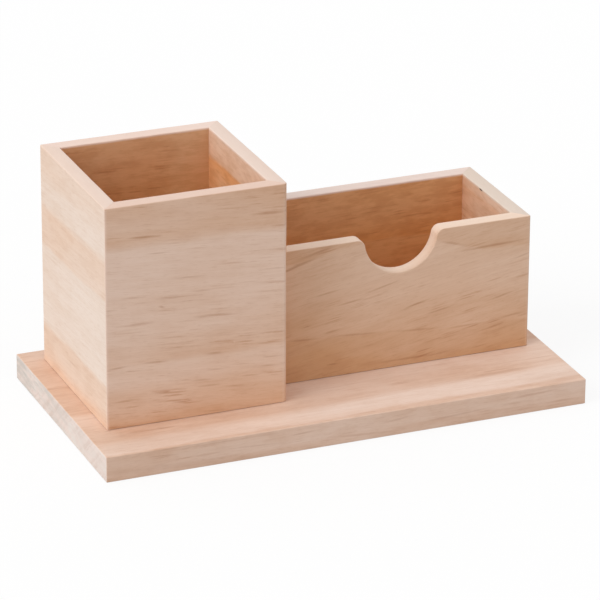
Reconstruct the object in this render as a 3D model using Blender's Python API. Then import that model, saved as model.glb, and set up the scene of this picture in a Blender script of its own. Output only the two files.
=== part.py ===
# Pine pen holder: a tall square pen cup and a low card box, side by side on one base board.
# Metres, +Z up. The origin lies under the middle of the base board, on the surface it stands on.
# +X runs along the board towards the card box, and +Y towards the back.

import math

import bmesh
import bpy
from mathutils import Matrix, Vector

# Boards

BASE_THICKNESS = 0.012      # the base is the thicker board
WALL_THICKNESS = 0.007      # all eight walls are cut from one thinner board
BASE_EDGE_ROUND = 0.0004    # sanded edges of the base
WALL_EDGE_ROUND = 0.0006    # sanded rims and outer corners of the walls

# Pen cup, outside

CUP_SIDE = 0.085            # the cup is square in plan
CUP_HEIGHT = 0.104

# Card box, outside

CARD_BOX_LENGTH = 0.1262
CARD_BOX_DEPTH = 0.067
CARD_BOX_HEIGHT = 0.064

# Finger notch in the card box's front wall

NOTCH_DEPTH = 0.018         # from the rim down to the lowest point
NOTCH_RADIUS = 0.0177       # the bowl of the notch
NOTCH_SHOULDER = 0.004      # the rounded step from the rim into the bowl
NOTCH_OFFSET = -0.001       # off the wall's middle, a little towards the pen cup

# Margins of the base board round what stands on it

LEFT_MARGIN = 0.010
RIGHT_MARGIN = 0.0085
FRONT_MARGIN = 0.0265       # in front of the cup
BACK_MARGIN = 0.010         # behind the cup and the card box, whose backs are in line

# Joints and screws

JOINT_GAP = 0.0003          # glue line between two boards
SCREW_INSET = 0.020         # from a box's outer corner to the screw, along the wall
SCREW_SINK = 0.0004         # head's face above the base's underside
SCREW_BITE = 0.018          # length in the wall
SCREW_HEAD_RADIUS = 0.003
SCREW_HEAD_RIM = 0.0002
SCREW_SHANK_RADIUS = 0.0015
SCREW_CORE_RADIUS = 0.00105  # root of the thread, which is left as a plain core
SCREW_TIP_LENGTH = 0.003
SCREW_CLEARANCE = 0.0003
RECESS_SPAN = 0.0034        # cross recess in the screw's head, tip to tip
RECESS_WIDTH = 0.0009
RECESS_DEPTH = 0.0016
RECESS_FLOOR_SHARE = 0.4    # floor of the recess, as a share of its mouth
CUT_OVERRUN = 0.001         # how far a cutter starts outside what it cuts

# Facets

MERGE_DISTANCE = 0.000001
EDGE_STEPS = 2
SHOULDER_STEPS = 6
BOWL_STEPS = 28
TURN_STEPS = 16
SMOOTH_ANGLE = math.radians(30)

# Places that follow from the sizes above

BASE_LENGTH = LEFT_MARGIN + CUP_SIDE + JOINT_GAP + CARD_BOX_LENGTH + RIGHT_MARGIN
BASE_DEPTH = FRONT_MARGIN + CUP_SIDE + BACK_MARGIN
BOX_FLOOR = BASE_THICKNESS + JOINT_GAP
CUP_LEFT = LEFT_MARGIN - BASE_LENGTH / 2
CUP_FRONT = FRONT_MARGIN - BASE_DEPTH / 2
CARD_BOX_LEFT = CUP_LEFT + CUP_SIDE + JOINT_GAP
CARD_BOX_FRONT = CUP_FRONT + CUP_SIDE - CARD_BOX_DEPTH

# Colours of raw pine and of plated steel, linear

BASE_PINE = (0.66, 0.44, 0.30)
CUP_PINE = (0.68, 0.47, 0.33)
CARD_BOX_PINE = (0.62, 0.40, 0.27)
PLATED_STEEL = (0.62, 0.55, 0.38)


def clear_scene():
    for item in list(bpy.data.objects):
        bpy.data.objects.remove(item, do_unlink=True)


def make_material(name, colour, roughness, metallic):
    material = bpy.data.materials.new(name)
    material.use_nodes = True
    shader = material.node_tree.nodes["Principled BSDF"]
    shader.inputs["Base Color"].default_value = (*colour, 1)
    shader.inputs["Roughness"].default_value = roughness
    shader.inputs["Metallic"].default_value = metallic
    return material


def pine(name, colour):
    return make_material(name, colour, roughness=0.7, metallic=0)


def plated_steel(name):
    return make_material(name, PLATED_STEEL, roughness=0.35, metallic=1)


def to_mesh(bm, name):
    bmesh.ops.recalc_face_normals(bm, faces=bm.faces)
    mesh = bpy.data.meshes.new(name)
    bm.to_mesh(mesh)
    bm.free()
    mesh.shade_smooth()
    mesh.set_sharp_from_angle(angle=SMOOTH_ANGLE)
    return mesh


def add_object(name, mesh, parent=None, location=(0, 0, 0), turn=0):
    item = bpy.data.objects.new(name, mesh)
    item.parent = parent
    item.location = location
    item.rotation_euler = (0, 0, turn)
    bpy.context.scene.collection.objects.link(item)
    return item


def add_cutter(name, mesh, parent=None, location=(0, 0, 0)):
    cutter = add_object(name, mesh, parent, location)
    cutter.hide_render = True
    cutter.display_type = "WIRE"
    return cutter


def cut(item, cutter):
    modifier = item.modifiers.new(cutter.name, "BOOLEAN")
    modifier.operation = "DIFFERENCE"
    modifier.solver = "EXACT"
    modifier.object = cutter


# Outlines

def arc(centre, radius, start, end, steps):
    """Points at equal angles along an arc; start and end are in degrees."""
    points = []
    for step in range(steps + 1):
        angle = math.radians(start + (end - start) * step / steps)
        x = centre[0] + radius * math.cos(angle)
        z = centre[1] + radius * math.sin(angle)
        points.append((x, z))
    return points


def notch_outline(middle, rim):
    """Finger notch from its right end on the rim to its left end.

    The bowl is one arc. Each shoulder is a smaller arc, tangent to the rim and to the bowl, or to
    an upright side where the notch is deeper than the bowl and a shoulder together.
    """
    bowl_drop = NOTCH_DEPTH - NOTCH_RADIUS
    rise = max(NOTCH_SHOULDER - bowl_drop, 0)
    reach = NOTCH_RADIUS + NOTCH_SHOULDER
    spread = math.sqrt(reach ** 2 - rise ** 2)
    lean = math.degrees(math.asin(rise / reach))
    shoulder_height = rim - NOTCH_SHOULDER
    right = arc((middle + spread, shoulder_height), NOTCH_SHOULDER, 90, 180 - lean, SHOULDER_STEPS)
    bowl = arc((middle, rim - bowl_drop), NOTCH_RADIUS, -lean, -180 + lean, BOWL_STEPS)
    left = arc((middle - spread, shoulder_height), NOTCH_SHOULDER, lean, 90, SHOULDER_STEPS)
    return right + bowl + left


def wall_outline(length, height, notched):
    """Face of a wall, seen from outside: x along it, z up."""
    notch = notch_outline(length / 2 + NOTCH_OFFSET, height) if notched else []
    return [(0, 0), (length, 0), (length, height), *notch, (0, height)]


def without_repeats(points):
    kept = [points[0]]
    for point in points[1:]:
        if math.dist(point, kept[-1]) > MERGE_DISTANCE:
            kept.append(point)
    return kept


def cross_outline(span, width):
    """Twelve corners of a cross, anticlockwise."""
    corners = [(span / 2, -width / 2), (span / 2, width / 2), (width / 2, width / 2)]
    outline = []
    for quarter in range(4):
        turn = Matrix.Rotation(quarter * math.pi / 2, 2)
        outline += [turn @ Vector(corner) for corner in corners]
    return outline


# Boards

def board(outline, thickness):
    """Board whose face has the outline, from y = 0 to y = thickness."""
    bm = bmesh.new()
    face = bm.faces.new([bm.verts.new((x, 0, z)) for x, z in without_repeats(outline)])
    extruded = bmesh.ops.extrude_face_region(bm, geom=[face])
    far_side = [item for item in extruded["geom"] if isinstance(item, bmesh.types.BMVert)]
    bmesh.ops.translate(bm, vec=(0, thickness, 0), verts=far_side)
    bmesh.ops.recalc_face_normals(bm, faces=bm.faces)
    return bm


def round_edges(bm, edges, radius):
    bmesh.ops.bevel(bm, geom=edges, offset=radius, offset_type="OFFSET", segments=EDGE_STEPS,
                    profile=0.5, affect="EDGES")


def sanded_edges(bm):
    """Edges round a wall's rim and notch, and the two outer upright ones."""
    rim = {face for face in bm.faces if min(vert.co.z for vert in face.verts) > 0}
    edges = []
    for edge in bm.edges:
        heights = [vert.co.z for vert in edge.verts]
        outside = all(vert.co.y == 0 for vert in edge.verts)
        upright = outside and min(heights) == 0 < max(heights)
        if upright or sum(face in rim for face in edge.link_faces) == 1:
            edges.append(edge)
    return edges


def cut_mitre(bm, corner, outwards):
    """Cut one end at 45 degrees, half a joint gap short of the true mitre."""
    setback = JOINT_GAP / math.sqrt(2)
    geometry = [*bm.verts, *bm.edges, *bm.faces]
    result = bmesh.ops.bisect_plane(bm, geom=geometry, plane_co=(corner - outwards * setback, 0, 0),
                                    plane_no=(outwards, 1, 0), clear_outer=True)
    loop = [item for item in result["geom_cut"] if isinstance(item, bmesh.types.BMEdge)]
    bmesh.ops.contextual_create(bm, geom=loop)


def wall_mesh(name, length, height, notched):
    bm = board(wall_outline(length, height, notched), WALL_THICKNESS)
    round_edges(bm, sanded_edges(bm), WALL_EDGE_ROUND)
    cut_mitre(bm, 0, -1)
    cut_mitre(bm, length, 1)
    return to_mesh(bm, name)


def make_base():
    outline = [(0, 0), (BASE_LENGTH, 0), (BASE_LENGTH, BASE_THICKNESS), (0, BASE_THICKNESS)]
    bm = board(outline, BASE_DEPTH)
    round_edges(bm, list(bm.edges), BASE_EDGE_ROUND)
    base = add_object("base_board", to_mesh(bm, "base_board"),
                      location=(-BASE_LENGTH / 2, -BASE_DEPTH / 2, 0))
    base.data.materials.append(pine("base_pine", BASE_PINE))
    return base


def make_box(name, corner, size, colour, notched_front=False):
    """Four mitred walls round an open box, which has the base board as its floor.

    Each wall starts at its own outer corner and is turned a quarter from the one before.
    """
    width, depth, height = size
    box = add_object(name, None, location=(*corner, BOX_FLOOR))
    sides = {
        "front": ((0, 0), width),
        "right": ((width, 0), depth),
        "back": ((width, depth), width),
        "left": ((0, depth), depth),
    }
    walls = {}
    for quarter, (side, (start, length)) in enumerate(sides.items()):
        wall_name = f"{name}_{side}_wall"
        mesh = wall_mesh(wall_name, length, height, notched_front and side == "front")
        mesh.materials.append(pine(f"{wall_name}_pine", colour))
        walls[side] = add_object(wall_name, mesh, box, (*start, 0), quarter * math.pi / 2)
    return walls


# Screws

def turned(profile, name):
    """Solid of revolution about Z, from (radius, height) points that start and end on the axis."""
    bm = bmesh.new()
    verts = [bm.verts.new((radius, 0, height)) for radius, height in profile]
    edges = [bm.edges.new(pair) for pair in zip(verts, verts[1:])]
    bmesh.ops.spin(bm, geom=verts + edges, cent=(0, 0, 0), axis=(0, 0, 1), angle=math.tau,
                   steps=TURN_STEPS, use_merge=True)
    bmesh.ops.remove_doubles(bm, verts=bm.verts, dist=MERGE_DISTANCE)
    return to_mesh(bm, name)


def screw_mesh():
    """Countersunk screw, point up, with its head's face at z = 0.

    The plain shank and its step down to the thread's core end at the top of the base board.
    """
    cone = SCREW_HEAD_RADIUS - SCREW_SHANK_RADIUS
    step = SCREW_SHANK_RADIUS - SCREW_CORE_RADIUS
    board_top = BASE_THICKNESS - SCREW_SINK
    length = board_top + JOINT_GAP + SCREW_BITE
    profile = [
        (0, 0),
        (SCREW_HEAD_RADIUS, 0),
        (SCREW_HEAD_RADIUS, SCREW_HEAD_RIM),
        (SCREW_SHANK_RADIUS, SCREW_HEAD_RIM + cone),
        (SCREW_SHANK_RADIUS, board_top - step),
        (SCREW_CORE_RADIUS, board_top),
        (SCREW_CORE_RADIUS, length - SCREW_TIP_LENGTH),
        (0, length),
    ]
    return turned(profile, "countersunk_screw")


def screw_hole_mesh():
    """Countersink and clearance hole through the base board, then the pilot hole in the wall."""
    clear_radius = SCREW_SHANK_RADIUS + SCREW_CLEARANCE
    pilot_radius = SCREW_CORE_RADIUS + SCREW_CLEARANCE
    mouth = SCREW_HEAD_RADIUS + SCREW_HEAD_RIM + SCREW_SINK + SCREW_CLEARANCE * math.sqrt(2)
    board_top = BASE_THICKNESS + JOINT_GAP / 2
    pilot_end = BOX_FLOOR + SCREW_BITE
    profile = [
        (0, -CUT_OVERRUN),
        (mouth + CUT_OVERRUN, -CUT_OVERRUN),
        (clear_radius, mouth - clear_radius),
        (clear_radius, board_top),
        (pilot_radius, board_top),
        (pilot_radius, pilot_end),
        (0, pilot_end + pilot_radius),
    ]
    return turned(profile, "screw_hole")


def recess_mesh():
    """Cross recess that narrows towards its floor."""
    bm = bmesh.new()
    outline = cross_outline(RECESS_SPAN, RECESS_WIDTH)
    face = bm.faces.new([bm.verts.new((x, y, -CUT_OVERRUN)) for x, y in outline])
    extruded = bmesh.ops.extrude_face_region(bm, geom=[face])
    floor = [item for item in extruded["geom"] if isinstance(item, bmesh.types.BMVert)]
    bmesh.ops.translate(bm, vec=(0, 0, CUT_OVERRUN + RECESS_DEPTH), verts=floor)
    bmesh.ops.scale(bm, vec=(RECESS_FLOOR_SHARE, RECESS_FLOOR_SHARE, 1), verts=floor)
    return to_mesh(bm, "screw_recess")


def drive_screw(name, place, base, wall, meshes, turn):
    """Put one screw up through the base board into a wall, with its hole in both."""
    screw = add_object(name, meshes["screw"], location=(*place, SCREW_SINK), turn=turn)
    cut(screw, add_cutter(f"{name}_recess", meshes["recess"], parent=screw))
    hole = add_cutter(f"{name}_hole", meshes["hole"], location=(*place, 0))
    cut(base, hole)
    cut(wall, hole)


def screw_down(name, corner, size, base, walls, meshes):
    """Two screws under the front wall and two under the back wall of a box."""
    left, front = corner
    width, depth, _ = size
    middle = WALL_THICKNESS / 2
    rows = {"front": front + middle, "back": front + depth - middle}
    columns = {"left": left + SCREW_INSET, "right": left + width - SCREW_INSET}
    for row, (side, y) in enumerate(rows.items()):
        for column, (end, x) in enumerate(columns.items()):
            turn = math.radians(25) * (1 + row + 2 * column)
            drive_screw(f"{name}_{side}_screw_{end}", (x, y), base, walls[side], meshes, turn)


def main():
    clear_scene()
    base = make_base()
    meshes = {"screw": screw_mesh(), "hole": screw_hole_mesh(), "recess": recess_mesh()}
    meshes["screw"].materials.append(plated_steel("screw_steel"))

    cup_corner = (CUP_LEFT, CUP_FRONT)
    cup_size = (CUP_SIDE, CUP_SIDE, CUP_HEIGHT)
    cup_walls = make_box("pen_cup", cup_corner, cup_size, CUP_PINE)
    screw_down("pen_cup", cup_corner, cup_size, base, cup_walls, meshes)

    card_corner = (CARD_BOX_LEFT, CARD_BOX_FRONT)
    card_size = (CARD_BOX_LENGTH, CARD_BOX_DEPTH, CARD_BOX_HEIGHT)
    card_walls = make_box("card_box", card_corner, card_size, CARD_BOX_PINE, notched_front=True)
    screw_down("card_box", card_corner, card_size, base, card_walls, meshes)


main()
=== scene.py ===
import math
from collections import namedtuple

import bpy
import numpy as np
from mathutils import Matrix, Vector


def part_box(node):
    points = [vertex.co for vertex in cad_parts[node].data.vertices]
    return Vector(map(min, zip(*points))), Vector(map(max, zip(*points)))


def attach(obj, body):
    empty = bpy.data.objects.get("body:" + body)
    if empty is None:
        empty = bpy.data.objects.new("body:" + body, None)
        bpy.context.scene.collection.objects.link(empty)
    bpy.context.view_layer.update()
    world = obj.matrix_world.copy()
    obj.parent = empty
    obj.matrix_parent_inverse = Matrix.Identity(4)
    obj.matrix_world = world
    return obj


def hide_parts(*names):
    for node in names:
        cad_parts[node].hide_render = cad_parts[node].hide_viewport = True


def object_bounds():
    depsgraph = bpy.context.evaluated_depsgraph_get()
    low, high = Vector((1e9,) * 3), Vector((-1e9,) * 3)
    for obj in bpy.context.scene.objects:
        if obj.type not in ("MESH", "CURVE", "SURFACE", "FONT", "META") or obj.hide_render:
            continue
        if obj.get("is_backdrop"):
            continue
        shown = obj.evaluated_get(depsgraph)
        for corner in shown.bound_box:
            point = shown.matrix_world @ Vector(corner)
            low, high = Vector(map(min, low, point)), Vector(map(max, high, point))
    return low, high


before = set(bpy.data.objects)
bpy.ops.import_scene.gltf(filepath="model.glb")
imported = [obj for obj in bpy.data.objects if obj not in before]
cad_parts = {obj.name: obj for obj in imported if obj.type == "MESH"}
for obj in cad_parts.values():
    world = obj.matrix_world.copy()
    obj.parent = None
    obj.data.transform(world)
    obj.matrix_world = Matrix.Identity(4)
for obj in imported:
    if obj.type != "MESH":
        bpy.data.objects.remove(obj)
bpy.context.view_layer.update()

# Camera
#
# The picture was taken with a long lens from nearly 2 m away, to the left of the notched front
# and above it. These values lay the object's straight edges on those of the photograph.

CAMERA_TURN = math.radians(-22.320)
CAMERA_LIFT = math.radians(22.714)
CAMERA_ROLL = math.radians(0.321)
CAMERA_DISTANCE = 1.9052
CAMERA_AIM = Vector((0, -0.00325, 0.0345))
CAMERA_SIDESTEP = -0.00108      # sideways and upwards, without a turn
CAMERA_RAISE = 0.01060
CAMERA_LENS = 253.17
CAMERA_NEAR = 0.05
CAMERA_FAR = 50

back = Vector((math.sin(CAMERA_TURN) * math.cos(CAMERA_LIFT),
               -math.cos(CAMERA_TURN) * math.cos(CAMERA_LIFT),
               math.sin(CAMERA_LIFT)))
level = Vector((math.cos(CAMERA_TURN), math.sin(CAMERA_TURN), 0))
roll = Matrix.Rotation(CAMERA_ROLL, 3, back)
sideways = roll @ level
upwards = roll @ back.cross(level)
eye = CAMERA_AIM + CAMERA_DISTANCE * back + CAMERA_SIDESTEP * sideways + CAMERA_RAISE * upwards

camera_data = bpy.data.cameras.new("camera")
camera_data.lens = CAMERA_LENS
camera_data.clip_start = CAMERA_NEAR
camera_data.clip_end = CAMERA_FAR
camera = bpy.data.objects.new("camera", camera_data)
axes = Matrix((sideways, upwards, back)).transposed()
camera.matrix_world = Matrix.Translation(eye) @ axes.to_4x4()
bpy.context.scene.collection.objects.link(camera)
bpy.context.scene.camera = camera

# Base board
#
# One planed pine board, 12 mm thick, with its grain along its length and all its edges sanded
# round. It is the floor of both boxes, and the screws come up through it into their walls.

MILLIMETRE = 0.001


class Field:
    """A number, a colour or a vector that varies over a surface, held as the socket that gives it.

    A sum, a product and so on of fields and plain numbers adds Math nodes to the same material.
    """

    def __init__(self, socket):
        self.socket = socket

    def node(self, kind, settings, values, output=None):
        """Add a node of this kind: first its settings, then what goes into its sockets."""
        tree = self.socket.id_data
        node = tree.nodes.new(kind)
        for name, setting in settings.items():
            if name == "stops":
                set_stops(node.color_ramp, setting)
            else:
                setattr(node, name, setting)
        for socket in node.inputs:
            value = values.get(socket.identifier)
            if isinstance(value, Field):
                tree.links.new(value.socket, socket)
            elif value is not None:
                socket.default_value = value
        found = [socket for socket in node.outputs if output in (None, socket.identifier)]
        return Field(found[0])

    def sibling(self, output):
        """Another output of the same node."""
        return Field(self.socket.node.outputs[output])

    def feed(self, socket):
        """Link this field to a shader's own socket."""
        self.socket.id_data.links.new(self.socket, socket)

    def math(self, operation, first, second=0.0):
        return self.node("ShaderNodeMath", {"operation": operation},
                         {"Value": first, "Value_001": second})

    def __add__(self, other):
        return self.math("ADD", self, other)

    def __radd__(self, other):
        return self.math("ADD", other, self)

    def __sub__(self, other):
        return self.math("SUBTRACT", self, other)

    def __rsub__(self, other):
        return self.math("SUBTRACT", other, self)

    def __mul__(self, other):
        return self.math("MULTIPLY", self, other)

    def __rmul__(self, other):
        return self.math("MULTIPLY", other, self)

    def __truediv__(self, other):
        return self.math("DIVIDE", self, other)

    def __pow__(self, power):
        return self.math("POWER", self, power)

    def __abs__(self):
        return self.math("ABSOLUTE", self)

    def larger(self, other):
        return self.math("MAXIMUM", self, other)

    def smaller(self, other):
        return self.math("MINIMUM", self, other)

    def step(self, low, high, bottom=0.0, top=1.0):
        """Smooth step from bottom, at low and before it, to top, at high and past it."""
        return self.node("ShaderNodeMapRange", {"interpolation_type": "SMOOTHSTEP"},
                         {"Value": self, "From Min": low, "From Max": high, "To Min": bottom,
                          "To Max": top})

    def line(self, bottom, top):
        """Straight line: bottom where this is 0, and top where it is 1."""
        return bottom + (top - bottom) * self

    def swing(self, amount):
        """Noise around 0.5 turned into noise around 0, times an amount."""
        return amount * (self - 0.5)

    def part(self, axis):
        """One of a vector's three parts, or of a colour's."""
        return self.node("ShaderNodeSeparateXYZ", {}, {"Vector": self}, axis)

    def length(self):
        """A vector's length."""
        return self.node("ShaderNodeVectorMath", {"operation": "LENGTH"}, {"Vector": self},
                         "Value")

    def laid(self, unit, place=(0, 0, 0), turn=(0, 0, 0)):
        """These places as seen from a frame of that place, turn and unit along each axis."""
        return self.node("ShaderNodeMapping", {"vector_type": "TEXTURE"},
                         {"Vector": self, "Location": place, "Rotation": turn, "Scale": unit})

    def clouds(self, detail, roughness=0.5):
        """Noise around 0.5, with lumps about one unit across."""
        return self.node("ShaderNodeTexNoise", {},
                         {"Vector": self, "Scale": 1.0, "Detail": detail, "Roughness": roughness})

    def clouds_along(self, detail):
        """The same over a single number."""
        return self.node("ShaderNodeTexNoise", {"noise_dimensions": "1D"},
                         {"W": self, "Scale": 1.0, "Detail": detail})

    def attribute(self, name):
        """What the piece's mesh holds under that name."""
        return self.node("ShaderNodeAttribute", {"attribute_name": name}, {}, "Fac")

    def shade(self, first, second, blend="MIX"):
        """The first colour where this is 0, and where it is 1 the second, or their product."""
        first, second = (colour if isinstance(colour, Field) else (*colour, 1)
                         for colour in (first, second))
        return self.node("ShaderNodeMix", {"data_type": "RGBA", "blend_type": blend},
                         {"Factor_Float": self, "A_Color": first, "B_Color": second},
                         "Result_Color")

    def mixed(self, mask, colour):
        """This colour, and the other one where the mask is 1."""
        return mask.shade(self, colour)

    def tinted(self, mask, tint):
        """This colour, multiplied by the tint where the mask is 1."""
        return mask.shade(self, tint, "MULTIPLY")


def set_stops(ramp, stops):
    """Give a colour ramp these (place, value) stops, in grey."""
    while len(ramp.elements) > 1:
        ramp.elements.remove(ramp.elements[-1])
    for number, (place, value) in enumerate(stops):
        element = ramp.elements[0] if number == 0 else ramp.elements.new(place)
        element.position = place
        element.color = (value, value, value, 1)


def new_finish(name):
    """A material, its shader and the field of places on the piece that wears it."""
    material = bpy.data.materials.new(name)
    material.use_nodes = True
    places = material.node_tree.nodes.new("ShaderNodeTexCoord")
    return material, material.node_tree.nodes["Principled BSDF"], Field(places.outputs["Object"])


def set_relief(shader, relief, strength, height):
    """Let a shader's surface rise by that height in metres where the relief goes from 0 to 1."""
    bump = relief.node("ShaderNodeBump", {}, {"Strength": strength, "Distance": height,
                                              "Height": relief}, "Normal")
    bump.feed(shader.inputs["Normal"])


# The noises that make up the figure of pine. Lumps are in mm along the grain, across it and into
# the wood, and a noise lies at its shift times the board's seed.
WANDER = dict(lumps=(70, 26, 26), shift=1, detail=1)
CLOUD = dict(lumps=(45, 16, 16), shift=3, detail=1)
GROUPS = dict(lumps=(38, 9, 9), shift=4, detail=1)
RAGGED = dict(lumps=(14, 2.2, 2.2), shift=2, detail=3, roughness=0.6)
FIBRE = dict(lumps=(26, 0.42, 0.42), shift=1, detail=3, roughness=0.6)
STRAND = dict(lumps=(48, 2.2, 2.2), shift=2, detail=3, roughness=0.6)
MOTTLE = dict(lumps=(12, 4, 4), shift=5, detail=3, roughness=0.6)
PORE = dict(lumps=(4.5, 0.5, 0.5), shift=6, detail=2)


class Wood:
    """The places on one board, in mm, and the noises of its figure, drawn out along the grain.

    Along the board is x, across its face y, and out of its face z, which is 0 on the face.
    """

    def __init__(self, places, place, turn, seed, grain_lean):
        self.board = places.laid((MILLIMETRE,) * 3, place, turn)
        self.along, self.across, self.out = (self.board.part(axis) for axis in "XYZ")
        self.seed = seed
        self.grain = (0, 0, math.radians(grain_lean))
        self.ragged = self.noise(**RAGGED)
        self.fibre = self.noise(**FIBRE)
        self.strand = self.noise(**STRAND)
        self.mottle = self.noise(**MOTTLE)
        self.pore = self.noise(**PORE)

    def drawn(self, lumps, shift):
        """The board's frame with lumps of this size, turned to the grain."""
        return self.board.laid(lumps, [shift * value for value in self.seed], self.grain)

    def noise(self, lumps, shift, detail, roughness=0.5):
        return self.drawn(lumps, shift).clouds(detail, roughness)

    def reach(self, size, place, turn=(0, 0, 0)):
        """How far a point is from the middle of a spot, as a share of the spot's half size."""
        return self.board.laid([side / 2 for side in size], place, turn).length()


ARCH_REACH = 46         # mm from its middle in which an arch still falls
ARCH_START = (26, 50)   # mm up the face, between which the bands begin to arch
BAND_FRAY = 3.0         # mm


def bands(wood, climb, depth_lean, wander, bow, bow_middle):
    """A point's place in the board's year rings, in mm.

    It is its y, plus climb times its x, plus depth_lean times its z, plus a slow wander of about
    that many mm and a ragged fray. Higher up the board comes an arch: bow times the square of
    the distance along the board from bow_middle.
    """
    band = wood.across + climb * wood.along + depth_lean * wood.out
    if bow:
        arch = bow * ((wood.along - bow_middle) ** 2).smaller(ARCH_REACH ** 2)
        band = band + arch * wood.across.step(*ARCH_START)
    return band + wood.noise(**WANDER).swing(2 * wander) + wood.ragged.swing(BAND_FRAY)


BAND_STRENGTH = (0.6, 1.4)      # of the bands, where a cloud is 0 and where it is 1
CLOUD_TONE = 0.25


def ring_tone(wood, band, rings, stain_and_shade):
    """How dark the year rings leave a point, from 0, early wood, to 1, late wood.

    Each stop of the rings is its (place, tone) across the bands, and the tone runs straight from
    one stop to the next. Clouds make the bands fainter or stronger. A stain_and_shade (full, none,
    tone) adds its tone: all of it at x = full and beyond, and nothing from x = none on, to
    whichever side that is. On some boards it is the wood's own staining, on others painted light
    and shade.
    """
    low, high = rings[0][0], rings[-1][0]
    stops = [((place - low) / (high - low), level) for place, level in rings]
    ring = band.node("ShaderNodeValToRGB", {"stops": stops}, {"Fac": (band - low) / (high - low)})
    cloud = wood.noise(**CLOUD)
    tone = ring * cloud.line(*BAND_STRENGTH) + cloud.swing(CLOUD_TONE)
    if stain_and_shade:
        full, none, darker = stain_and_shade
        tone = tone + wood.along.step(full, none, darker, 0)
    return tone


FLECKS = ((24, 1.4, 0.45), (13, 0.9, 0.5))      # cell length and width in mm, share that shows
FLECK_SHIFT = 5             # times the seed, for the first set of cells
FLECK_FULL = 1.02           # less half the share: the cell's number from which a fleck is darkest
FLECK_FRAY = (0.6, 0.6, 0.7)        # by fibres, ragged edges and pores
FLECK_EDGE = (0, 0.45)      # distances from a cell's middle
FLECK_GROUPS = (0.38, 0.62, 0.15, 1)
FLECK_STRENGTH = (0.6, 1.2)         # on early and on late wood
BUSY_EDGES = (3, 4)         # mm


def resin_flecks(wood, band, tone, strength, busy):
    """How strongly a point is marked by the short dark flecks of resin.

    A fleck is the frayed middle of a cell, of cells drawn out along the grain, and shows where
    the cell's own random number is over 1 less the share. Flecks gather in groups and on late
    wood. Between the first two places of busy, in the bands, they are stronger by its third
    number.
    """
    by_fibre, by_edge, by_pore = FLECK_FRAY
    fray = (wood.fibre.swing(by_fibre), wood.ragged.swing(by_edge), wood.pore.swing(by_pore))
    flecks = 0
    for number, (length, width, share) in enumerate(FLECKS):
        cells = wood.drawn((length, width, width), number + FLECK_SHIFT)
        cell = band.node("ShaderNodeTexVoronoi", {}, {"Vector": cells, "Scale": 1.0}, "Distance")
        chance = cell.sibling("Color").part("X").step(1 - share, FLECK_FULL - share / 2)
        frayed = cell + fray[0] + fray[1] + fray[2]
        flecks = frayed.step(*FLECK_EDGE, 1, 0) * chance + flecks
    groups = wood.noise(**GROUPS).step(*FLECK_GROUPS)
    here = strength * flecks * groups * tone.line(*FLECK_STRENGTH)
    if busy:
        start, end, more = busy
        into, out_of = BUSY_EDGES
        thick = (band.step(start - into, start + into)
                 * band.step(end - out_of, end + out_of, 1, 0))
        here = here * (1 + more * thick)
    return here


# Each part of the fine figure: the values of its noise between which it sets in, and its tint.
STRAND_SETS_IN = (0.35, 0.75)
STRAND_TINT = (0.965, 0.94, 0.915)
MOTTLE_SETS_IN = (0.42, 0.66)
MOTTLE_STRENGTH = (0.4, 1.0)        # on early and on late wood
MOTTLE_TINT = (0.945, 0.91, 0.88)
FIBRE_SETS_IN = (0.3, 0.75)
FIBRE_TINT = (0.97, 0.955, 0.94)
PORE_SETS_IN = (0.52, 0.74)
PORE_TINT = (0.93, 0.895, 0.86)
FLECK_TINT = (0.82, 0.72, 0.64)


def figured(wood, tone, resin, pale, tan):
    """The colour of the planed wood: from pale to tan with the rings, under its fine figure."""
    colour = tone.shade(pale, tan)
    colour = colour.tinted(wood.strand.step(*STRAND_SETS_IN), STRAND_TINT)
    mottled = wood.mottle.step(*MOTTLE_SETS_IN) * tone.line(*MOTTLE_STRENGTH)
    colour = colour.tinted(mottled, MOTTLE_TINT)
    colour = colour.tinted(wood.fibre.step(*FIBRE_SETS_IN), FIBRE_TINT)
    colour = colour.tinted(wood.pore.step(*PORE_SETS_IN), PORE_TINT)
    return colour.tinted(resin, FLECK_TINT)


STREAK_DEPTH = 8            # mm, along the third side of a streak's spot
STREAK_FRAY = (1.2, 1.0)    # by fibres and by ragged edges
STREAK_EDGE = (0.1, 1.15)   # shares of its half size, between which it fades
STREAK_TINT = (0.66, 0.50, 0.38)


def streaked(wood, colour, size, place, turn, strength):
    """The colour with one streak of resin, a long frayed spot of that size at that place."""
    by_fibre, by_edge = STREAK_FRAY
    reach = (wood.reach(size, place, turn) + wood.fibre.swing(by_fibre)
             + wood.ragged.swing(by_edge))
    return colour.tinted(reach.step(*STREAK_EDGE, strength, 0), STREAK_TINT)


INNER_FACE = (-6.95, -6.5)      # mm out of a wall's face, where its inner face ends
INNER_MOTTLE = (0.4, 0.62)
INNER_MOTTLE_TINT = (0.93, 0.895, 0.85)
DEEP_SHADE = (8, 30)                  # mm below the rim, between which the painted shade grows deeper
DEEP_SHADE_TINT = (1.05, 1.0, 0.87)


def shaded_inner_face(wood, colour, tint, rim):
    """The colour with a wall's inner face given painted shade and its mottle, the painted shade
    deeper further below y = rim.
    """
    inner = wood.out.step(*INNER_FACE, 1, 0)
    colour = colour.tinted(inner, tint)
    colour = colour.tinted(inner * wood.mottle.step(*INNER_MOTTLE), INNER_MOTTLE_TINT)
    return colour.tinted(inner * (rim - wood.across).step(*DEEP_SHADE), DEEP_SHADE_TINT)


# End grain colours, paler than end grain is, as a painted highlight of the lit end of the board
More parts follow.
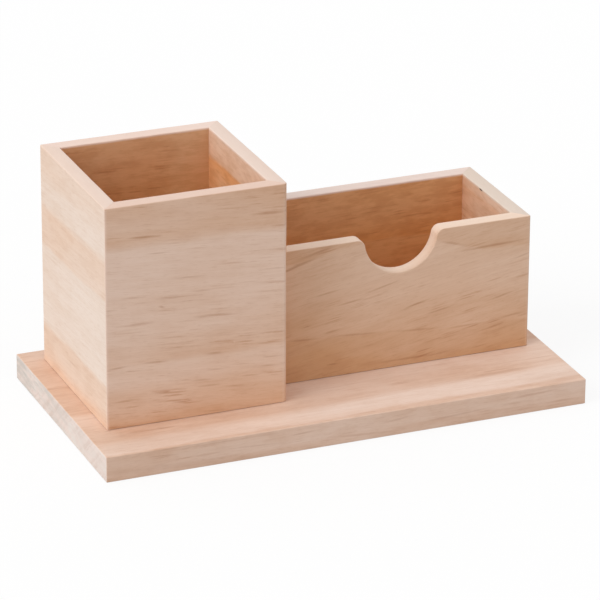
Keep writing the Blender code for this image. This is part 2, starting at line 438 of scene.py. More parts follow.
SAWN_EARLY = (0.85, 0.775, 0.72)
SAWN_LATE = (0.67, 0.545, 0.47)
SAWN_ROSY = (0.85, 0.69, 0.63)
SAWN_DUST = (0.58, 0.55, 0.51)
SAWN_STRENGTH = 0.85
END_FACING = (0.6, 0.9)         # how far a face looks along the board
LAYERS_PER_MM = 0.22
LAYER_DETAIL = 4
LAYER_EDGE = (0.42, 0.64)
PATCH = dict(lumps=(20, 11, 5), shift=1, detail=4, roughness=0.6)
LAYERS_SHOW = (0.36, 0.6)       # values of the patches' noise
ROSY_SHOWS = (0.3, 0.5, 0, 0.5)
DUST = dict(lumps=(9, 16, 3), shift=1, detail=4, roughness=0.6)
DUST_EDGE = (0.3, 0.7)
DUST_RISE = (20, 115, 0.2, 1)   # mm across the board, from front to back


def highlit_sawn_ends(wood, colour, band, places):
    """The colour with the board's ends sawn across: pale as a painted highlight of the lit end,
    with late wood's layers in patches.

    The layers are a noise across the bands. Some patches are rosy, and dust lies on it, more of
    it towards the back.
    """
    facing = places.node("ShaderNodeNewGeometry", {}, {}, "Normal").part("X")
    layers = (LAYERS_PER_MM * band).clouds_along(LAYER_DETAIL).step(*LAYER_EDGE)
    patch = wood.noise(**PATCH)
    dust = wood.noise(**DUST).step(*DUST_EDGE) * wood.across.step(*DUST_RISE)
    sawn = (layers * patch.step(*LAYERS_SHOW)).shade(SAWN_EARLY, SAWN_LATE)
    sawn = sawn.mixed(patch.step(*ROSY_SHOWS), SAWN_ROSY).mixed(dust, SAWN_DUST)
    return colour.mixed(SAWN_STRENGTH * abs(facing).step(*END_FACING), sawn)


CHIP_FRAY = 1.2
CHIP_EDGE = (0.3, 1)
CHIP_DARK = (0.06, 0.045, 0.04)


def chipped(wood, colour, x, y, z, length, width):
    """The colour with a small dark chip of that length and width at (x, y, z)."""
    reach = wood.reach((length, width, width), (x, y, z)) + wood.fibre.swing(CHIP_FRAY)
    return colour.mixed(reach.step(*CHIP_EDGE, 1, 0), CHIP_DARK)


# Sanded rims and arrises: the wood's sanded colour, and partly a painted highlight where they face
# up to the light
RUBBED_AND_HIGHLIT = (0.87, 0.68, 0.58)
RUBBED_STRENGTH = (0.55, 0.95)      # where the fibres' noise is 0 and where it is 1
PINE_ROUGHNESS = (0.58, 0.74)
STRAND_RELIEF = 0.5                 # as a share of the fibres'
FLECK_RELIEF = 0.6
PINE_BUMP = 0.3
PINE_RELIEF = 0.00008


def pine(name, place, turn, pale, tan, rings, seed, climb=0, depth_lean=0, wander=1.5, bow=0,
         bow_middle=0, grain_lean=0, stain_and_shade=None, flecks=1, busy=None, streaks=(), edge_streaks=(),
         inside=None, rim=0, rubbed_and_highlit=RUBBED_AND_HIGHLIT, end_grain=False, chip=None):
    """Raw sanded pine, for the board whose frame lies at that place and turn.

    Its year rings, stain_and_shade and flecks are what the functions above say. A streak of resin
    is its (x, y, length, width, lean in degrees, strength), and one on the front edge has z in
    place of y. Of a wall, inside is the painted shade of its inner face, rim the height of its rim
    in mm, rubbed_and_highlit the colour of its sanded rim and corners, which is partly a painted
    highlight, and chip a chip's x, y, z, length and width.
    """
    material, shader, places = new_finish(name)
    wood = Wood(places, place, turn, seed, grain_lean)
    band = bands(wood, climb, depth_lean, wander, bow, bow_middle)
    tone = ring_tone(wood, band, rings, stain_and_shade)
    resin = resin_flecks(wood, band, tone, flecks, busy)
    colour = figured(wood, tone, resin, pale, tan)
    for x, y, length, width, lean, strength in streaks:
        colour = streaked(wood, colour, (length, width, STREAK_DEPTH), (x, y, 0),
                          (0, 0, math.radians(lean)), strength)
    for x, z, length, width, lean, strength in edge_streaks:
        colour = streaked(wood, colour, (length, STREAK_DEPTH, width), (x, 0, z),
                          (0, -math.radians(lean), 0), strength)
    if inside:
        colour = shaded_inner_face(wood, colour, inside, rim)
    # The rim, arrises and corners turn pale: sanding, and partly a painted highlight where they
    # face the light
    sanded = places.attribute("sanded")
    colour = colour.mixed(wood.fibre.line(*RUBBED_STRENGTH) * sanded, rubbed_and_highlit)
    if end_grain:
        colour = highlit_sawn_ends(wood, colour, band, places)
    if chip:
        colour = chipped(wood, colour, *chip)

    colour.feed(shader.inputs["Base Color"])
    wood.fibre.line(*PINE_ROUGHNESS).feed(shader.inputs["Roughness"])
    relief = wood.fibre + STRAND_RELIEF * wood.strand - FLECK_RELIEF * resin
    set_relief(shader, relief, PINE_BUMP, PINE_RELIEF)
    return material


base_low, base_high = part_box("base_board")
base_pine = pine(
    "base_pine", (base_low.x, base_low.y, base_high.z), (0, 0, 0),
    pale=(0.95, 0.775, 0.68), tan=(0.785, 0.535, 0.40), seed=(11, 23, 5),
    rings=((-22, 1), (-14, 0.8), (-12, 0.63), (-1, 0.7), (1, 0.25), (6, 0.05), (11, 0.1),
           (16, 0.72), (24, 0.62), (32, 0.42), (43, 0.3), (47, 0.9), (56, 0.7), (70, 0.72),
           (76, 0.66), (92, 0.7), (99, 0.74), (108, 0.68), (114, 0.42), (122, 0.42)),
    # stain_and_shade darkens the board's left part: painted shade, round the foot of the cup
    climb=-0.028, depth_lean=1.2, wander=2.5, flecks=0.7, stain_and_shade=(50, 115, 0.25), end_grain=True,
    streaks=((224, 8, 60, 22, 0, 0.3), (24, 20, 34, 5, 4, 0.25), (196, 21, 50, 4, 2, 0.3),
             (28, 9, 90, 18, 0, 0.2)),
    edge_streaks=((34, -9.2, 110, 4.5, -2.5, 0.22), (55, -1.6, 60, 1.2, 0, 0.25),
                  (92, -3.6, 14, 1.0, 3, 0.4), (26, -3.4, 18, 1.0, -4, 0.35),
                  (137, -4.5, 20, 1.2, 5, 0.35), (168, -7, 36, 1.4, 3, 0.35),
                  (205, -3, 30, 1.2, 2, 0.35), (120, -9, 40, 1.3, -3, 0.3),
                  (70, -6, 30, 1.0, -3, 0.3), (218, -8.5, 20, 1.3, 0, 0.3)))
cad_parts["base_board"].material_slots[0].material = base_pine

# Walls of the pen cup
#
# Four boards of planed pine, 7 mm thick, with the grain running round the cup. Their ends are
# mitred and glued, the rim is sanded flat, and its arrises and the four outer corners are eased.

ARRIS_ROUND = 0.0004
RUN_IN = 0.0008             # strip beside a corner, within which its rubbing ends
RIM_RUN_IN = 3 * RUN_IN     # from the end of a mitre to the first station of the rim
HAIRLINE = 0.00002          # what shows of a glue line at each end of a wall
FOOT_GAP = 0.00025          # what shows of the one under it
SANDING_SHARE = 0.35        # how unevenly the arrises are rounded
SANDING_WAVES = ((0.5, 9, 1), (0.3, 23, 2), (0.2, 51, 3))       # height, rate, shift
NOTCH_EASE = 0.6            # how much more the arrises of a notch are rounded, as a share
NOTCH_EASE_DEPTH = 0.004    # below the rim, from where on it is full
NOTCH_DULL = 0.4            # how much less its outer arris is painted pale, as a share
END_WOOD_DULL = 0.45        # and its steep sides, which cut across the grain
ARRIS_STEPS = 5
CORNER_STEPS = 6
FACE_ROWS = 10
RIM_STATIONS = 40
SHARP_ANGLE = math.radians(35)

Box = namedtuple("Box", "walls corners size thickness")


def measure_box(name):
    """A box of four walls, as their nodes give it, from the front wall on to the right.

    Each wall starts at the corner of its own number and ends at the next one.
    """
    walls = [f"{name}_{side}_wall" for side in ("front", "right", "back", "left")]
    lows, highs = zip(*(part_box(wall) for wall in walls))
    low = np.array(lows).min(axis=0)
    high = np.array(highs).max(axis=0)
    low[2] = base_high.z + FOOT_GAP
    starts = [(low[0], low[1]), (high[0], low[1]), (high[0], high[1]), (low[0], high[1])]
    corners = [np.array((*start, low[2])) for start in starts]
    return Box(walls, corners, high - low, highs[3].x - lows[3].x)


def plain_rim(length, height, thickness):
    """Rim of a straight wall: its points and the directions out of the wood, along its length."""
    clear = thickness + RIM_RUN_IN
    x = np.linspace(clear, length - clear, RIM_STATIONS)
    return np.stack([x, 0 * x + height], axis=-1), np.stack([0 * x, 0 * x + 1], axis=-1)


def sanding(share, number):
    """How much more than usual an arris is rounded, as a share, along a wall's length.

    It is three waves, shifted for each wall, that die away at both ends, where the next wall
    takes over.
    """
    waves = sum(height * np.sin(rate * share + shift * number)
                for height, rate, shift in SANDING_WAVES)
    return SANDING_SHARE * np.sin(math.pi * share) * waves


def section(height):
    """The profile that is carried along a wall, from its foot up, over the rim and down inside.

    Three arrays: the share of the way up to the rim, the turn of an arris from the face to the
    rim, and the side, which is 0 outside, 1 inside and 0.5 in the middle of the rim.
    """
    climb = np.append(np.linspace(0, 1, FACE_ROWS)[:-1], 1 - RUN_IN / height)
    quarter_turn = np.linspace(0, math.pi / 2, ARRIS_STEPS + 1)
    up = np.concatenate([climb, np.ones(ARRIS_STEPS + 1)])
    over = np.concatenate([0 * climb, quarter_turn])
    share = np.concatenate([up, [1], up[::-1]])
    turn = np.concatenate([over, [math.pi / 2], over[::-1]])
    side = np.concatenate([0 * up, [0.5], 0 * up + 1])
    return share, turn, side


def rounded(arris, turn, side, thickness):
    """How far below the rim a point of an arris of that radius lies, and how deep in the wall."""
    inset = arris * (1 - np.sin(turn))
    eased = arris * (1 - np.cos(turn))
    depth = np.where(side == 0, eased, np.where(side == 1, thickness - eased, thickness / 2))
    return inset, depth


def corner_grid(length, height, thickness, radius):
    """Points of a wall's right end: a row at each angle of its corner, from 0 to the mitre at 45.

    Outside, a point lies on the round of that radius, less its own depth. Inside, it runs
    straight on to the mitre. A row just before the corner ends the strip that is rubbed with it.
    """
    share, turn, side = section(height)
    inset, depth = rounded(ARRIS_ROUND, turn, side, thickness)
    angle = np.linspace(0, math.pi / 4, CORNER_STEPS + 1)[:, None]
    left = np.maximum(radius - depth, 0)
    back_off = radius * (1 - angle / (math.pi / 4))
    x = np.where(left > 0, length - radius + left * np.sin(angle), length - depth - back_off)
    y = np.where(left > 0, radius - left * np.cos(angle), depth)
    corner = np.stack(np.broadcast_arrays(x, y, share * (height - inset)), axis=-1)
    return np.concatenate([corner[:1] - (RUN_IN, 0, 0), corner])


def rubbing(share, turn, side, rows, dull, corner_wear):
    """How far each point of a wall is painted pale, from 0 to 1, for sanding and partly as a
    painted highlight.

    The rim and its inner arris are, and it fades over the outer arris as that turns down from the
    light. Between the ends it is less by the share dull, and down each outer corner it is that
    corner's wear.
    """
    # Painted highlight: the outer arris grows pale as it turns up to the light
    rim = np.where(side == 0, np.sin(turn) ** 2, 1)
    worn_and_highlit = np.tile(np.where(share == 1, rim, 0), (rows, 1))
    corner = CORNER_STEPS + 1
    worn_and_highlit[corner + 1:-corner - 1] *= 1 - dull
    outside = (side == 0) & (share < 1)
    worn_and_highlit[:corner, outside] = corner_wear[0]
    worn_and_highlit[-corner:, outside] = corner_wear[1]
    return worn_and_highlit


def wall_grid(length, height, thickness, rim, outwards, number, corner_rounds, corner_wear):
    """Points of a wall and their rubbing: rows for its stations, columns for its profile.

    Between the corners, a station's points lie on the way from its foot to the rim's point. That
    one is moved back, along the direction out of the wood, by what the arris takes off, which is
    more where the rim dips into a notch.
    """
    share, turn, side = section(height)
    run = np.linspace(0, 1, len(rim))[:, None]
    dip = np.clip((height - rim[:, 1:]) / NOTCH_EASE_DEPTH, 0, 1)
    arris = ARRIS_ROUND * (1 + sanding(run, number) + NOTCH_EASE * dip)
    inset, depth = rounded(arris, turn, side, thickness)
    foot = np.linspace(rim[0, :1], rim[-1, :1], len(rim))
    x = foot + share * (rim[:, :1] - inset * outwards[:, :1] - foot)
    z = share * (rim[:, 1:] - inset * outwards[:, 1:])
    middle = np.stack([x, depth, z], axis=-1)

    start, end = (corner_grid(length, height, thickness, radius) for radius in corner_rounds)
    start = (length, 0, 0) + np.array([-1, 1, 1]) * start[::-1]
    grid = np.concatenate([start, middle, end])
    grid[..., 0] = length / 2 + (grid[..., 0] - length / 2) * (1 - 2 * HAIRLINE / length)
    dull = NOTCH_DULL * dip * (side == 0) + END_WOOD_DULL * np.abs(outwards[:, :1])
    return grid, rubbing(share, turn, side, len(grid), dull, corner_wear)


def skin(name, grid, mark, values, corner, turn, material):
    """A piece from a grid whose columns close in a ring: quads, and a flat face on each end.

    It is turned about the upright axis, moved to its corner, and carries values as the
    attribute mark.
    """
    rows, columns = grid.shape[:2]
    index = np.arange(rows * columns).reshape(rows, columns)
    beside = np.roll(index, -1, axis=1)
    quads = np.stack([index[:-1], index[1:], beside[1:], beside[:-1]], axis=-1).reshape(-1, 4)
    faces = quads.tolist() + [index[0].tolist(), index[-1, ::-1].tolist()]
    points = grid.reshape(-1, 3) @ np.array(Matrix.Rotation(turn, 3, "Z")).T + corner
    mesh = bpy.data.meshes.new(name)
    mesh.from_pydata(points.tolist(), [], faces)
    mesh.attributes.new(mark, "FLOAT", "POINT").data.foreach_set("value", values.ravel())
    mesh.shade_smooth()
    mesh.set_sharp_from_angle(angle=SHARP_ANGLE)
    mesh.materials.append(material)
    piece = bpy.data.objects.new(name, mesh)
    bpy.context.scene.collection.objects.link(piece)
    return piece


def make_wall(box, quarter, shape, number, rounds, wear, look):
    """The piece for one wall of a box, the quarter's one, with a rim of that shape.

    The number is its own among all walls. Rounds and wear are those of the box's four corners,
    and the look is what pine takes.
    """
    length, height = box.size[quarter % 2], box.size[2]
    rim, outwards = shape(length, height, box.thickness)
    ends = (quarter, (quarter + 1) % 4)
    grid, worn_and_highlit = wall_grid(length, height, box.thickness, rim, outwards, number,
                           [rounds[end] for end in ends], [wear[end] for end in ends])
    name, corner = box.walls[quarter], box.corners[quarter]
    turn = quarter * math.pi / 2
    material = pine(f"{name}_pine", corner, (math.pi / 2, 0, turn), rim=height / MILLIMETRE,
                    **look)
    return skin(f"{name}_board", grid, "sanded", worn_and_highlit, corner, turn, material)


# Rounds and wear go round from the front left corner. Wear is sanding as a share of the rim's.
CUP_CORNER_ROUNDS = (0.0005, 0.0018, 0.0007, 0.0006)
CUP_CORNER_WEAR = (0.45, 0.12, 0.3, 0.3)
CUP_INSIDE_SHADE = (0.91, 0.745, 0.525)      # painted shade: inner faces darker and more orange than the outer, as shade and light bounced between the walls leave them
CUP_LIT_SIDE_TINT = (1.0, 0.98, 0.95)           # painted light: the right wall's inner face, which the lamp falls on, stays nearly as pale
CUP_LOOKS = (
    # Front
    dict(pale=(0.86, 0.64, 0.52), tan=(0.70, 0.405, 0.235), seed=(31, 7, 13), grain_lean=-4,
         rings=((0, 0.85), (4, 0.75), (8, 0.6), (16, 0.52), (20, 0.28), (27.2, 0.2), (29.5, 0.45),
                (33, 0.38), (42, 0.24), (60, 0.1), (82.5, 0.05), (85.5, 0.45), (88, 0.58),
                (93, 0.54), (104, 0.56)),
         depth_lean=3, flecks=1.1, busy=(5, 24, 0.6), stain_and_shade=(5, 60, -0.12),
         inside=CUP_INSIDE_SHADE, rubbed_and_highlit=(0.86, 0.65, 0.55),
         streaks=((18, 88.5, 16, 1.6, -3, 0.7), (77, 91.5, 20, 1.8, -2, 0.6),
                  (24, 80.2, 12, 1, -3, 0.35), (39, 66.8, 18, 1.1, -3, 0.4),
                  (45.5, 59.5, 11, 1.2, -4, 0.35), (12, 61, 9, 1.2, -4, 0.35),
                  (29, 58.3, 15, 1.1, -4, 0.35), (26, 54.6, 4, 1.5, -20, 0.5),
                  (50, 47, 20, 2.1, -3, 0.55), (16, 48.2, 15, 1.2, -3, 0.4),
                  (78, 65, 16, 1.1, -3, 0.3), (5, 28.8, 12, 1.3, 3, 0.5),
                  (23, 28.9, 15, 1.4, -3, 0.55), (51, 28.8, 11, 1.4, -4, 0.5),
                  (45, 17, 12, 1.2, -3, 0.35), (26, 14, 10, 1.2, -3, 0.3),
                  (8, 12.5, 12, 1.3, 0, 0.4), (78, 23, 10, 1.2, -3, 0.4),
                  (76, 19, 11, 1.4, -4, 0.4), (47, 13.8, 14, 1.1, -3, 0.35),
                  (61, 11.5, 13, 1.2, -4, 0.35), (51, 21, 10, 1.1, -4, 0.35),
                  (34, 8, 11, 1.1, -2, 0.3), (68, 15.5, 11, 1.1, -3, 0.3))),
    # Right
    dict(pale=(0.83, 0.63, 0.51), tan=(0.80, 0.41, 0.19), seed=(43, 17, 29), grain_lean=1,
         rings=((0, 0.7), (14, 0.3), (28, 0.1), (29.5, 0.6), (44, 0.3), (56, 0.6), (66, 0.85),
                (77, 1), (79.3, 0.25), (90, 0.2), (104, 0.3)),
         depth_lean=1.8, inside=CUP_LIT_SIDE_TINT, rubbed_and_highlit=(0.86, 0.71, 0.63)),
    # Back
    dict(pale=(0.84, 0.62, 0.50), tan=(0.79, 0.46, 0.29), seed=(59, 31, 7), grain_lean=2,
         rings=((0, 0.8), (10, 0.4), (29, 0.1), (30.5, 0.6), (45, 0.3), (66, 0.2), (67.5, 0.8),
                (78, 0.6), (90, 0.35), (104, 0.5), (120, 0.3)),
         depth_lean=-2, bow=0.003, bow_middle=30, wander=3, flecks=1.5, stain_and_shade=(8, 36, -0.8),
         inside=CUP_INSIDE_SHADE, rubbed_and_highlit=(0.92, 0.74, 0.66)),
    # Left, paler and greyer than the other walls, as a painted highlight of the softbox on this
    # side
    dict(pale=(0.87, 0.73, 0.635), tan=(0.82, 0.58, 0.43), seed=(71, 5, 37), grain_lean=4,
         rings=((-2, 0.9), (2, 0.8), (5, 0.55), (18, 0.58), (20, 0), (30, -0.05), (50, -0.05),
                (56.5, 0), (58.5, 0.52), (75, 0.52), (79, 0), (88, 0.05), (97, 0.3), (104, 0.35)),
         climb=-0.03, depth_lean=2, wander=2.5, flecks=0.45, stain_and_shade=(8, 80, 0.16),
         inside=CUP_INSIDE_SHADE),
)
cup = measure_box("pen_cup")
for quarter, look in enumerate(CUP_LOOKS):
    piece = make_wall(cup, quarter, plain_rim, quarter, CUP_CORNER_ROUNDS, CUP_CORNER_WEAR, look)
    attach(piece, "root")
    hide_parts(cup.walls[quarter])

# Walls of the card box
#
# Four more boards of the same planed pine, mitred and glued like the cup's. The front one is cut
# down in the middle by a U-shaped finger notch with rounded shoulders, sanded all round.

NOTCH_DEPTH = 0.018
NOTCH_RADIUS = 0.0177
NOTCH_SHOULDER = 0.004
NOTCH_OFFSET = -0.001       # off the wall's middle
SHOULDER_STATIONS = 12
BOWL_STATIONS = 60
FLAT_STATIONS = 16


def notched_rim(length, height, thickness):
    """Rim of the front wall, from left to right: flat, shoulder, bowl, shoulder, flat.

    The bowl is one arc. Each shoulder is a smaller arc, tangent to the flat and to the bowl.
    """
    drop = NOTCH_DEPTH - NOTCH_RADIUS
    rise = NOTCH_SHOULDER - drop
    reach = NOTCH_RADIUS + NOTCH_SHOULDER
    spread = math.sqrt(reach ** 2 - rise ** 2)
    lean = math.asin(rise / reach)
    angle = np.linspace(math.pi / 2, lean, SHOULDER_STATIONS)
    shoulder_out = np.stack([np.cos(angle), np.sin(angle)], axis=-1)
    shoulder = (-spread, height - NOTCH_SHOULDER) + NOTCH_SHOULDER * shoulder_out
    angle = np.linspace(math.pi + lean, 2 * math.pi - lean, BOWL_STATIONS)[1:-1]
    bowl_out = -np.stack([np.cos(angle), np.sin(angle)], axis=-1)
    bowl = (0, height - drop) - NOTCH_RADIUS * bowl_out
    mirror = np.array([-1, 1])
    middle = length / 2 + NOTCH_OFFSET
    notch = (middle, 0) + np.concatenate([shoulder, bowl, mirror * shoulder[::-1]])
    notch_out = np.concatenate([shoulder_out, bowl_out, mirror * shoulder_out[::-1]])
    clear = thickness + RIM_RUN_IN
    left = np.linspace((clear, height), (middle - spread, height), FLAT_STATIONS)[:-1]
    right = np.linspace((middle + spread, height), (length - clear, height), FLAT_STATIONS)[1:]
    upward = np.tile((0.0, 1.0), (FLAT_STATIONS - 1, 1))
    return np.concatenate([left, notch, right]), np.concatenate([upward, notch_out, upward])


CARD_CORNER_ROUNDS = (0.0005, 0.0007, 0.0007, 0.0005)
CARD_CORNER_WEAR = (0.35, 0.15, 0.3, 0.3)
# Painted shade on the inner faces, and painted light on the right wall's inner face, which faces
# the lamp
CARD_INSIDE_SHADE = (0.98, 0.85, 0.64)
CARD_LIT_SIDE_TINT = (1.0, 1.0, 0.97)
CARD_LOOKS = (
    # Front
    dict(pale=(0.80, 0.565, 0.42), tan=(0.64, 0.36, 0.19), seed=(83, 41, 19), grain_lean=9,
         rings=((0, 1), (6, 0.95), (11, 0.7), (20, 0.6), (22, 0.4), (32, 0.33), (40, 0.13),
                (60, 0.02), (64.5, 0.1), (66, 0.38), (74, 0.28), (90, 0.42)),
         climb=0.06, bow=0.0036, bow_middle=57, depth_lean=3, flecks=0.85, busy=(18, 44, 0.7),
         # stain_and_shade darkens the left end: painted shade of the cup beside this wall
         stain_and_shade=(14, 50, 0.3), inside=CARD_INSIDE_SHADE, rubbed_and_highlit=(0.97, 0.77, 0.63),
         streaks=((69.5, 29, 17, 1.4, 14, 0.75), (26, 41, 20, 1.3, 9, 0.5),
                  (37, 35, 15, 1.1, 8, 0.5), (53, 40, 20, 1.2, 14, 0.5),
                  (113, 27, 17, 1.4, 12, 0.6), (82, 24.5, 16, 1.2, 10, 0.5),
                  (28.5, 22, 9, 1.2, 8, 0.45), (29, 6, 6, 1.1, 0, 0.6),
                  (68, 3, 38, 1.3, 0, 0.5), (15, 20, 20, 1.3, -3, 0.45),
                  (41, 18.7, 26, 1.3, -4, 0.45), (70, 16.5, 28, 1.3, -4, 0.4),
                  (95, 14.8, 20, 1.3, 2, 0.45), (118, 16.5, 15, 1.4, 6, 0.5),
                  (14, 57, 24, 1.8, 16, 0.55), (22, 61.5, 24, 1.8, 14, 0.55),
                  (6, 54.5, 13, 1.2, 12, 0.5), (88, 56, 14, 1.8, -16, 0.5),
                  (108, 52.3, 36, 1.6, 2, 0.6), (122, 45, 13, 1.2, 14, 0.4))),
    # Right
    dict(pale=(0.82, 0.63, 0.515), tan=(0.77, 0.455, 0.285), seed=(97, 3, 47), grain_lean=2,
         rings=((0, 0.7), (8, 0.5), (9.5, 0.1), (22, 0.2), (38, 0.5), (44, 0.75), (46, 0.25),
                (56, 0.4), (64, 0.3)),
         depth_lean=2, stain_and_shade=(62, 30, 0.3), inside=CARD_LIT_SIDE_TINT, rubbed_and_highlit=(0.78, 0.685, 0.60),
         chip=(39.4, 63.3, -7, 4.8, 1.2)),
    # Back
    dict(pale=(0.83, 0.575, 0.42), tan=(0.75, 0.42, 0.22), seed=(13, 61, 23), grain_lean=-2,
         rings=((0, 0.8), (12, 0.2), (13.5, 0.65), (30, 0.5), (50, 0.2), (51.5, 0.65), (64, 0.4)),
         # stain_and_shade darkens the right end and leaves the left lighter: painted light and
         # shade, as falls on the inner face
         depth_lean=-2, flecks=1.1, stain_and_shade=(30, 110, 0.3), inside=CARD_INSIDE_SHADE,
         rubbed_and_highlit=(0.89, 0.77, 0.73)),
    # Left
    dict(pale=(0.83, 0.60, 0.48), tan=(0.78, 0.44, 0.27), seed=(29, 19, 67), grain_lean=1,
         rings=((0, 0.3), (19, 0.1), (20.5, 0.6), (40, 0.4), (57, 0.1), (58.5, 0.6), (64, 0.5)),
         depth_lean=2, inside=CARD_INSIDE_SHADE, rubbed_and_highlit=(0.86, 0.73, 0.64)),
)
CARD_RIMS = (notched_rim, plain_rim, plain_rim, plain_rim)
card_box = measure_box("card_box")
for quarter, (rim_shape, look) in enumerate(zip(CARD_RIMS, CARD_LOOKS)):
    piece = make_wall(card_box, quarter, rim_shape, len(CUP_LOOKS) + quarter,
                      CARD_CORNER_ROUNDS, CARD_CORNER_WEAR, look)
    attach(piece, "root")
    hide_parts(card_box.walls[quarter])

# Screws
#
# Eight countersunk wood screws, 3 mm by 30 mm, of yellow zinc-plated steel with a cross recess,
# driven up through the base board into the front and back walls, their heads just inside the
# underside.

SCREW_HEAD_RIM = 0.0002
SCREW_EDGE = 0.00006            # chamfer of the head's edge
SHANK_RADIUS = 0.0015
SHANK_END = 0.0112              # from the head's face
CORE_RADIUS = 0.00105
THREAD_PITCH = 0.00135
THREAD_HEIGHT = 0.0004
THREAD_FOOT = 0.3               # half the width of the ridge's foot, as a share of the pitch
TURN_ROWS = 10                  # rows of points for each turn of the thread
TIP_LENGTH = 0.003
TIP_RADIUS = 0.00008
RECESS_SPAN = 0.0034
RECESS_WIDTH = 0.0009
RECESS_DEPTH = 0.0016
RECESS_FLOOR_SHARE = 0.4
ARM_COLUMNS = 6                 # columns of points across the end of an arm of the cross
GAP_COLUMNS = 10                # and from there to the next arm
SCREW_TURN = math.radians(25)


def cross_outline():
    """The directions of a screw's columns, and how far out the edge of its cross lies in each.

    Clockwise round the screw, 64 in all, with one on each corner of the cross. The edge is the
    nearest arm's end or side, whichever comes first.
    """
    arm = math.atan(RECESS_WIDTH / RECESS_SPAN)
    eighth = math.pi / 4
    half_gap = GAP_COLUMNS // 2
    quadrant = np.concatenate([np.linspace(-eighth, -arm, half_gap, endpoint=False),
                               np.linspace(-arm, arm, ARM_COLUMNS, endpoint=False),
                               np.linspace(arm, eighth, half_gap, endpoint=False)])
    past_end = np.cos(quadrant) / (RECESS_SPAN / 2)
    past_side = np.abs(np.sin(quadrant)) / (RECESS_WIDTH / 2)
    cross = 1 / np.maximum(past_end, past_side)
    angle = quadrant + np.arange(4)[:, None] * math.pi / 2
    return angle.ravel()[::-1], np.tile(cross, 4)[::-1]


def screw_grid(length, head_radius):
    """Points of a screw, point up, and which of them lie in the recess.

    One row for each height, from the recess's floor, out over the head and up the shank, and one
    column for each direction. Above the shank the radius is the core's plus a ridge, as high as
    the point is near to the thread's helix, and both die away along the tip.
    """
    angle, cross = cross_outline()
    head = np.array([(head_radius - SCREW_EDGE, 0), (head_radius, SCREW_EDGE),
                     (head_radius, SCREW_HEAD_RIM),
                     (SHANK_RADIUS, SCREW_HEAD_RIM + head_radius - SHANK_RADIUS),
                     (SHANK_RADIUS, SHANK_END)])
    rows = int((length - SHANK_END) / THREAD_PITCH * TURN_ROWS)
    climb = np.linspace(SHANK_END, length, rows)[1:, None]
    off = (climb / THREAD_PITCH - angle / (2 * math.pi) + 0.5) % 1 - 0.5
    ridge = THREAD_HEIGHT * np.maximum(1 - np.abs(off) / THREAD_FOOT, 0)
    taper = np.minimum((length - climb) / TIP_LENGTH, 1)
    thread = TIP_RADIUS + taper * (CORE_RADIUS - TIP_RADIUS + ridge)
    radius = np.concatenate([[RECESS_FLOOR_SHARE * cross, cross], head[:, :1] + 0 * angle, thread])
    heights = np.concatenate([[RECESS_DEPTH, 0], head[:, 1], climb[:, 0]])[:, None]
    recess = np.zeros_like(radius)
    recess[0] = 1
    grid = np.broadcast_arrays(radius * np.cos(angle), radius * np.sin(angle), heights)
    return np.stack(grid, axis=-1), recess


ZINC_PALE = (0.60, 0.56, 0.44)
ZINC_YELLOW = (0.66, 0.56, 0.32)
RECESS_SHADE = (0.20, 0.19, 0.18)
RECESS_SHADE_SHARE = 0.6              # how far the recess is darkened, as painted shade
BLOTCH_SIZE = 0.0014
BLOTCH_DETAIL = 3
BLOTCH_EDGE = (0.35, 0.65)
GRIT_SIZE = 0.00012
GRIT_DETAIL = 2
ZINC_ROUGHNESS = 0.24
ZINC_ROUGHENING = 0.12          # by the blotches and by the grit
ZINC_BUMP = 0.25
ZINC_RELIEF = 0.00002


def zinc_plating():
    """Yellow zinc plating, blotched and finely gritty, with painted shade in the recess."""
    material, shader, places = new_finish("zinc_plated_steel")
    blotch = places.laid((BLOTCH_SIZE,) * 3).clouds(BLOTCH_DETAIL)
    grit = places.laid((GRIT_SIZE,) * 3).clouds(GRIT_DETAIL)
    colour = blotch.step(*BLOTCH_EDGE).shade(ZINC_PALE, ZINC_YELLOW)
    # Painted shade in the cross recess
    colour = colour.mixed(RECESS_SHADE_SHARE * places.attribute("recess"), RECESS_SHADE)
    colour.feed(shader.inputs["Base Color"])
    roughness = ZINC_ROUGHNESS + ZINC_ROUGHENING * blotch + ZINC_ROUGHENING * grit
    roughness.feed(shader.inputs["Roughness"])
    shader.inputs["Metallic"].default_value = 1
    set_relief(shader, grit, ZINC_BUMP, ZINC_RELIEF)
    return material


zinc = zinc_plating()
for box in ("pen_cup", "card_box"):
    for row, side in enumerate(("front", "back")):
        for column, end in enumerate(("left", "right")):
            name = f"{box}_{side}_screw_{end}"
            low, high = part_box(name)
            grid, recess = screw_grid(high.z - low.z, (high.x - low.x) / 2)
            foot = np.array(((low.x + high.x) / 2, (low.y + high.y) / 2, low.z))
            turn = SCREW_TURN * (1 + row + 2 * column)
            piece = skin(f"{name}_steel", grid, "recess", recess, foot, turn, zinc)
            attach(piece, "root")
            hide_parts(name)

# Floor and light
#
# A plain white table in a white room, with one large softbox on the left, as in a small product
# studio. The camera sees the table white, with a faint shadow, and sees through it from below.

WHITE = (1, 1, 1, 1)
FLOOR_GREY = 0.52       # what the table throws back on the object
FLOOR_ROUGHNESS = 0.9
FLOOR_REACH = 8
FLOOR_DROP = 0.0001     # keeps the floor off the board's underside, so that neither flickers
SHADOW_SHARE = 0.15     # of the white that takes light and shadow, while the rest glows


def seen(field):
    """1 where the camera looks, straight or by way of a gloss or a glass."""
    path = field.node("ShaderNodeLightPath", {}, {}, "Is Camera Ray")
    others = path.sibling("Is Glossy Ray").larger(path.sibling("Is Transmission Ray"))
    return path.larger(others)


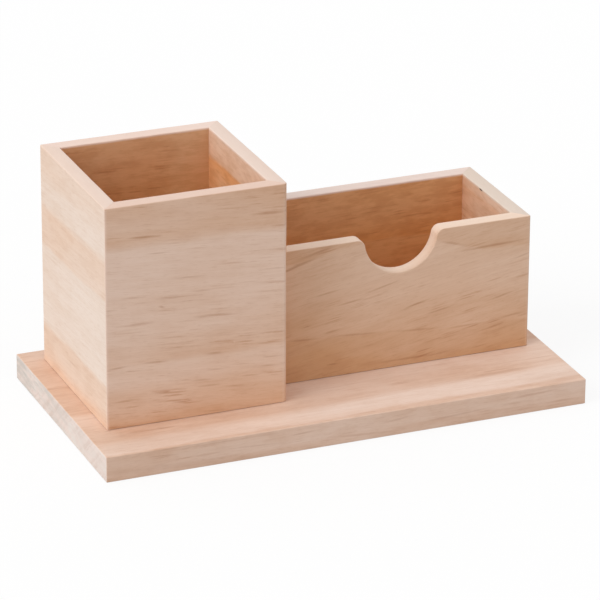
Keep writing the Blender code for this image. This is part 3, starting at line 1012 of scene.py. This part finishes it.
def white_table():
    """Grey to the object, white to the camera, and clear from below."""
    material, shader, places = new_finish("floor_white")
    shader.inputs["Base Color"].default_value = (FLOOR_GREY, FLOOR_GREY, FLOOR_GREY, 1)
    shader.inputs["Roughness"].default_value = FLOOR_ROUGHNESS
    shader.inputs["Specular IOR Level"].default_value = 0
    glow = places.node("ShaderNodeEmission", {}, {"Color": WHITE, "Strength": 1.0})
    white = places.node("ShaderNodeBsdfDiffuse", {}, {"Color": WHITE})
    backdrop = places.node("ShaderNodeMixShader", {},
                           {"Fac": SHADOW_SHARE, "Shader": glow, "Shader_001": white})
    upper = places.node("ShaderNodeMixShader", {},
                        {"Fac": seen(places), "Shader": Field(shader.outputs["BSDF"]),
                         "Shader_001": backdrop})
    below = places.node("ShaderNodeNewGeometry", {}, {}, "Backfacing")
    clear = places.node("ShaderNodeBsdfTransparent", {}, {"Color": WHITE})
    both = places.node("ShaderNodeMixShader", {},
                       {"Fac": below, "Shader": upper, "Shader_001": clear})
    both.feed(material.node_tree.nodes["Material Output"].inputs["Surface"])
    return material


floor_mesh = bpy.data.meshes.new("floor")
corners = ((-1, -1), (1, -1), (1, 1), (-1, 1))
floor_mesh.from_pydata([(x * FLOOR_REACH, y * FLOOR_REACH, -FLOOR_DROP) for x, y in corners],
                       [], [(0, 1, 2, 3)])
floor_mesh.materials.append(white_table())
floor = bpy.data.objects.new("floor", floor_mesh)
bpy.context.scene.collection.objects.link(floor)
floor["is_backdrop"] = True

ROOM_LIGHT = 0.745      # what falls on the object, of the white that the camera sees
world = bpy.data.worlds.new("studio")
world.use_nodes = True
bpy.context.scene.world = world
background = world.node_tree.nodes["Background"]
background.inputs["Color"].default_value = WHITE
sky = Field(background.outputs["Background"])
brightness = sky.node("ShaderNodeMapRange", {},
                      {"Value": seen(sky), "To Min": ROOM_LIGHT, "To Max": 1.0})
brightness.feed(background.inputs["Strength"])

LAMP_WAY = Vector((-0.83, -0.165, 0.53))     # from the object to the lamp
LAMP_LEVEL = 0.425
LAMP_SPREAD = math.radians(45)
lamp_data = bpy.data.lights.new("side_softbox", "SUN")
lamp_data.energy = LAMP_LEVEL * math.pi
lamp_data.angle = LAMP_SPREAD
lamp = bpy.data.objects.new("side_softbox", lamp_data)
lamp.rotation_euler = LAMP_WAY.to_track_quat("Z", "Y").to_euler()
bpy.context.scene.collection.objects.link(lamp)

bpy.context.scene.view_settings.view_transform = "Standard"

low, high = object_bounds()
